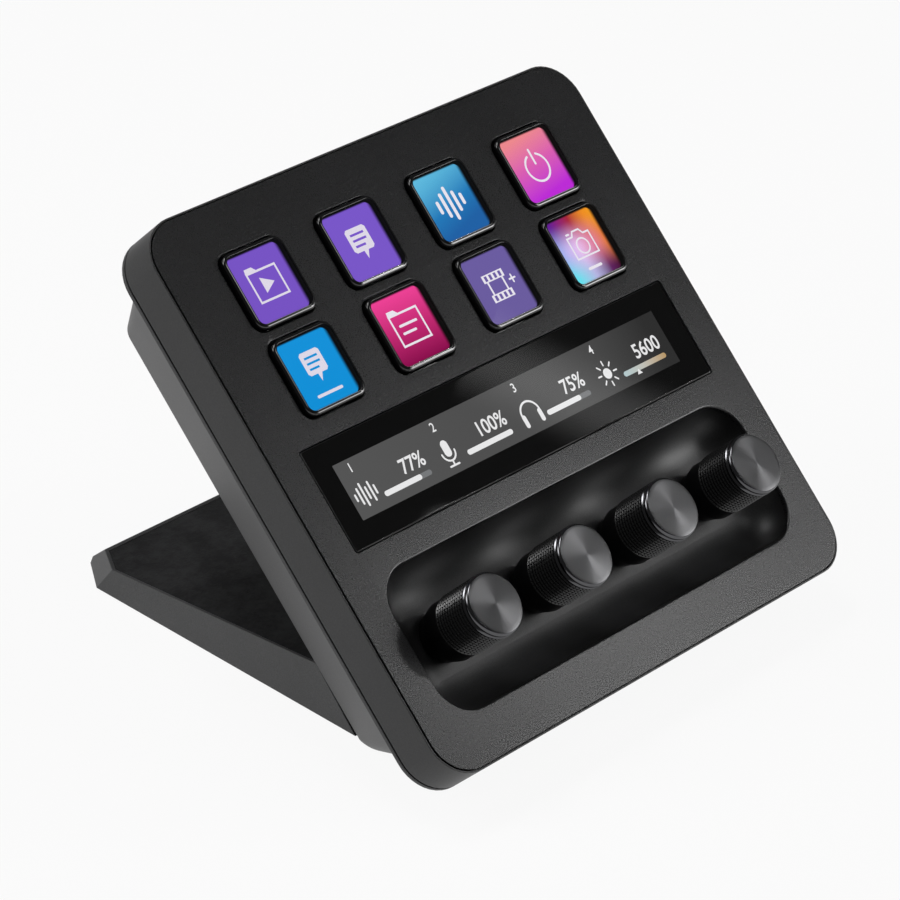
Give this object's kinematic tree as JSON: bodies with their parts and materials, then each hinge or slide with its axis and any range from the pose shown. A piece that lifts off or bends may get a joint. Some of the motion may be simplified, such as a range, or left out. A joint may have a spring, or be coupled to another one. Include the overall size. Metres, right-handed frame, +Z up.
{
  "type": "macro keypad",
  "caption": "Tilted macro keypad: display keys in rows, a touch strip and a finger trough of push dials in a square rounded panel, on a wedge stand.",
  "frame": {"origin": "middle of the bounding box's underside, on the table under the stand", "axes": "+X to the user's right, +Y away from the user, +Z up; the panel's face looks towards -Y and up"},
  "size_m": [0.14, 0.138, 0.11],
  "materials": {
    "faceplate": "fine satin grain",
    "housing": "fine satin grain",
    "tray": "smooth satin",
    "rear_shell": "fine matt grain",
    "stand": "fine matt grain",
    "inlay": "textured matt",
    "steel": "plain",
    "stand_floor": "fine matt grain",
    "rubber": "matt",
    "black_plastic": "matt",
    "silicone": "matt",
    "display_glass": "polished",
    "touch_glass": "polished",
    "lit_display": "polished, lit",
    "circuit_board": "solder mask",
    "socket_steel": "satin",
    "ribbon": "smooth",
    "screw_steel": "satin",
    "key_frame": "polished",
    "key_lens": "polished",
    "knob_grip": "satin with fine ribs",
    "knob_cap": "spun and anodised",
    "shaft_steel": "turned",
    "rotor": "plain",
    "encoder_steel": "pressed"
  },
  "bodies": {
    "chassis": {"faceplate": "faceplate", "front_housing": "housing", "knob_tray": "tray", "rear_housing": "rear_shell", "stand_body": "stand", "stand_inlay": "inlay", "stand_weight": "steel", "stand_floor": "stand_floor", "stand_foot": "rubber", "key_guide": "black_plastic", "key_mat": "silicone", "key_display": "display_glass", "strip_glass": "touch_glass", "strip_display": "lit_display", "encoder_case_1": "encoder_steel", "encoder_case_2": "encoder_steel", "encoder_case_3": "encoder_steel", "encoder_case_4": "encoder_steel", "main_board": "circuit_board", "dial_board": "circuit_board", "port_board": "circuit_board", "usb_socket": "socket_steel", "ribbon_cables": "ribbon", "board_screws": "screw_steel", "housing_screws": "screw_steel", "stand_screws": "screw_steel"},
    "key_1": {"key_frame_1": "key_frame", "key_lens_1": "key_lens"},
    "key_2": {"key_frame_2": "key_frame", "key_lens_2": "key_lens"},
    "key_3": {"key_frame_3": "key_frame", "key_lens_3": "key_lens"},
    "key_4": {"key_frame_4": "key_frame", "key_lens_4": "key_lens"},
    "key_5": {"key_frame_5": "key_frame", "key_lens_5": "key_lens"},
    "key_6": {"key_frame_6": "key_frame", "key_lens_6": "key_lens"},
    "key_7": {"key_frame_7": "key_frame", "key_lens_7": "key_lens"},
    "key_8": {"key_frame_8": "key_frame", "key_lens_8": "key_lens"},
    "rotor_1": {"encoder_rotor_1": "rotor"},
    "knob_1": {"knob_sleeve_1": "knob_grip", "knob_cap_1": "knob_cap", "knob_shaft_1": "shaft_steel"},
    "rotor_2": {"encoder_rotor_2": "rotor"},
    "knob_2": {"knob_sleeve_2": "knob_grip", "knob_cap_2": "knob_cap", "knob_shaft_2": "shaft_steel"},
    "rotor_3": {"encoder_rotor_3": "rotor"},
    "knob_3": {"knob_sleeve_3": "knob_grip", "knob_cap_3": "knob_cap", "knob_shaft_3": "shaft_steel"},
    "rotor_4": {"encoder_rotor_4": "rotor"},
    "knob_4": {"knob_sleeve_4": "knob_grip", "knob_cap_4": "knob_cap", "knob_shaft_4": "shaft_steel"}
  },
  "joints": [
    {"name": "key_1_press", "type": "slide", "parent": "chassis", "child": "key_1", "axis": [0, 0.7071, -0.7071], "range_m": [0, 0.0015], "stiffness_N_per_m": 300, "springref_m": -0.0005},
    {"name": "key_2_press", "type": "slide", "parent": "chassis", "child": "key_2", "axis": [0, 0.7071, -0.7071], "range_m": [0, 0.0015], "stiffness_N_per_m": 300, "springref_m": -0.0005},
    {"name": "key_3_press", "type": "slide", "parent": "chassis", "child": "key_3", "axis": [0, 0.7071, -0.7071], "range_m": [0, 0.0015], "stiffness_N_per_m": 300, "springref_m": -0.0005},
    {"name": "key_4_press", "type": "slide", "parent": "chassis", "child": "key_4", "axis": [0, 0.7071, -0.7071], "range_m": [0, 0.0015], "stiffness_N_per_m": 300, "springref_m": -0.0005},
    {"name": "key_5_press", "type": "slide", "parent": "chassis", "child": "key_5", "axis": [0, 0.7071, -0.7071], "range_m": [0, 0.0015], "stiffness_N_per_m": 300, "springref_m": -0.0005},
    {"name": "key_6_press", "type": "slide", "parent": "chassis", "child": "key_6", "axis": [0, 0.7071, -0.7071], "range_m": [0, 0.0015], "stiffness_N_per_m": 300, "springref_m": -0.0005},
    {"name": "key_7_press", "type": "slide", "parent": "chassis", "child": "key_7", "axis": [0, 0.7071, -0.7071], "range_m": [0, 0.0015], "stiffness_N_per_m": 300, "springref_m": -0.0005},
    {"name": "key_8_press", "type": "slide", "parent": "chassis", "child": "key_8", "axis": [0, 0.7071, -0.7071], "range_m": [0, 0.0015], "stiffness_N_per_m": 300, "springref_m": -0.0005},
    {"name": "knob_1_turn", "type": "hinge", "parent": "chassis", "child": "rotor_1", "pos_m": [-0.045, -0.04853, 0.03465], "axis": [0, -0.7071, 0.7071], "continuous": true},
    {"name": "knob_1_push", "type": "slide", "parent": "rotor_1", "child": "knob_1", "axis": [0, 0.7071, -0.7071], "range_m": [0, 0.0006], "stiffness_N_per_m": 2000, "springref_m": -0.0005},
    {"name": "knob_2_turn", "type": "hinge", "parent": "chassis", "child": "rotor_2", "pos_m": [-0.015, -0.04853, 0.03465], "axis": [0, -0.7071, 0.7071], "continuous": true},
    {"name": "knob_2_push", "type": "slide", "parent": "rotor_2", "child": "knob_2", "axis": [0, 0.7071, -0.7071], "range_m": [0, 0.0006], "stiffness_N_per_m": 2000, "springref_m": -0.0005},
    {"name": "knob_3_turn", "type": "hinge", "parent": "chassis", "child": "rotor_3", "pos_m": [0.015, -0.04853, 0.03465], "axis": [0, -0.7071, 0.7071], "continuous": true},
    {"name": "knob_3_push", "type": "slide", "parent": "rotor_3", "child": "knob_3", "axis": [0, 0.7071, -0.7071], "range_m": [0, 0.0006], "stiffness_N_per_m": 2000, "springref_m": -0.0005},
    {"name": "knob_4_turn", "type": "hinge", "parent": "chassis", "child": "rotor_4", "pos_m": [0.045, -0.04853, 0.03465], "axis": [0, -0.7071, 0.7071], "continuous": true},
    {"name": "knob_4_push", "type": "slide", "parent": "rotor_4", "child": "knob_4", "axis": [0, 0.7071, -0.7071], "range_m": [0, 0.0006], "stiffness_N_per_m": 2000, "springref_m": -0.0005}
  ]
}
